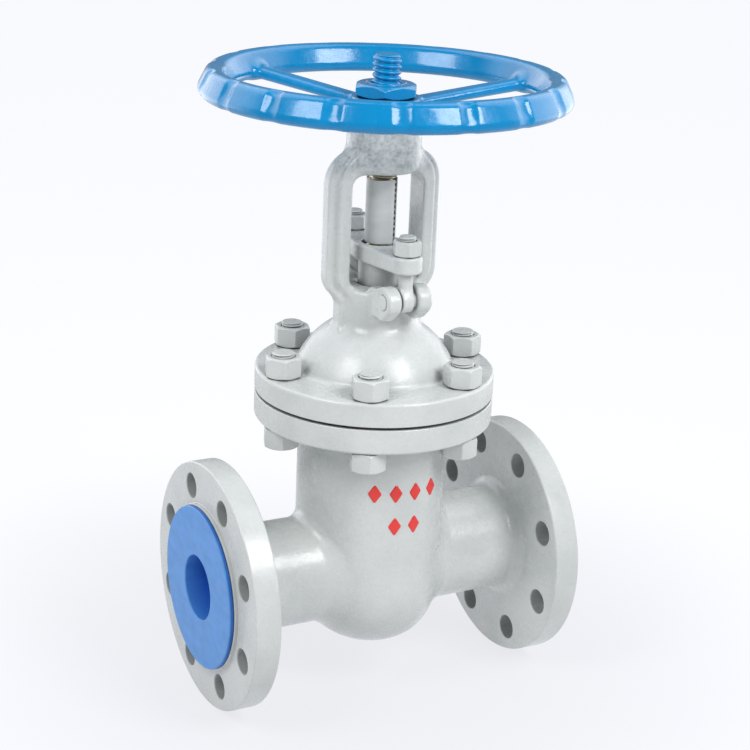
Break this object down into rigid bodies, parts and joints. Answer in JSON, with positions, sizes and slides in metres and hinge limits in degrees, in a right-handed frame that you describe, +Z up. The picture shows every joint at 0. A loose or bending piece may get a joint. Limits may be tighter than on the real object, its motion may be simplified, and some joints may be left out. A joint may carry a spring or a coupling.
{
  "type": "gate valve",
  "caption": "Flanged gate valve with an outside screw and yoke, a rising stem, a wedge, a bolted bonnet and a spoked handwheel, shut and capped.",
  "frame": {"origin": "on the ground line, straight below the point where the pipe axis and the stem axis cross; the pipe axis is 90 mm above it, so the flanges' rims touch z = 0", "axes": "+X along the pipe towards the right-hand flange, +Z up along the stem towards the handwheel, +Y away from the side that faces the viewer"},
  "size_m": [0.2716, 0.2572, 0.465],
  "materials": {
    "silver_enamel": "satin silver-grey enamel over cast steel, with soft runs and cast grain",
    "blue_enamel": "glossy azure enamel over a cast iron wheel",
    "blue_plastic": "moulded polyethylene, slightly glossy",
    "bare_steel": "turned stainless steel",
    "hard_facing": "ground hard-faced steel",
    "bronze": "turned bronze",
    "graphite": "pressed flexible graphite",
    "sleeve_plastic": "thin plastic film, sprayed over with the body's enamel"
  },
  "bodies": {
    "housing": {"valve_body": "silver_enamel", "seat_ring_left": "hard_facing", "seat_ring_right": "hard_facing", "bonnet_gasket": "graphite", "bonnet_yoke": "silver_enamel", "bonnet_stud_1": "silver_enamel", "bonnet_stud_2": "silver_enamel", "bonnet_stud_3": "silver_enamel", "bonnet_stud_4": "silver_enamel", "bonnet_stud_5": "silver_enamel", "bonnet_stud_6": "silver_enamel", "bonnet_nut_upper_1": "silver_enamel", "bonnet_nut_upper_2": "silver_enamel", "bonnet_nut_upper_3": "silver_enamel", "bonnet_nut_upper_4": "silver_enamel", "bonnet_nut_upper_5": "silver_enamel", "bonnet_nut_upper_6": "silver_enamel", "bonnet_nut_lower_1": "silver_enamel", "bonnet_nut_lower_2": "silver_enamel", "bonnet_nut_lower_3": "silver_enamel", "bonnet_nut_lower_4": "silver_enamel", "bonnet_nut_lower_5": "silver_enamel", "bonnet_nut_lower_6": "silver_enamel", "backseat_bushing": "bronze", "packing_ring_1": "graphite", "packing_ring_2": "graphite", "packing_ring_3": "graphite", "packing_ring_4": "graphite", "packing_ring_5": "graphite", "eyebolt_front": "silver_enamel", "eyebolt_back": "silver_enamel", "eyebolt_pin_front": "silver_enamel", "eyebolt_pin_back": "silver_enamel", "yoke_nut_retainer": "bare_steel", "stem_sleeve": "sleeve_plastic"},
    "gland": {"gland_flange": "silver_enamel", "gland_bushing": "silver_enamel", "gland_nut_front": "silver_enamel", "gland_nut_back": "silver_enamel"},
    "wheel": {"handwheel": "blue_enamel", "handwheel_nut": "blue_enamel", "handwheel_key": "bare_steel", "yoke_nut": "bronze"},
    "gate": {"stem": "bare_steel", "wedge_gate": "hard_facing"},
    "cap_left": {"flange_cap_left": "blue_plastic"},
    "cap_right": {"flange_cap_right": "blue_plastic"}
  },
  "joints": [
    {"name": "handwheel_turn", "type": "hinge", "parent": "housing", "child": "wheel", "pos_m": [0, 0, 0.431], "axis": [0, 0, 1], "range_deg": [0, 6480]},
    {"name": "stem_lift", "type": "slide", "parent": "housing", "child": "gate", "axis": [0, 0, 1], "range_m": [0, 0.072]},
    {"name": "gland_adjust", "type": "slide", "parent": "housing", "child": "gland", "axis": [0, 0, -1], "range_m": [0, 0.004], "deforming": ["packing_ring_1", "packing_ring_2", "packing_ring_3", "packing_ring_4", "packing_ring_5"]},
    {"name": "cap_left_pull", "type": "slide", "parent": "housing", "child": "cap_left", "axis": [-1, 0, 0], "range_m": [0, 0.06]},
    {"name": "cap_right_pull", "type": "slide", "parent": "housing", "child": "cap_right", "axis": [1, 0, 0], "range_m": [0, 0.06]}
  ],
  "couplings": [
    {"joint": "stem_lift", "follows": "handwheel_turn", "m_per_rad": 0.0006366}
  ]
}
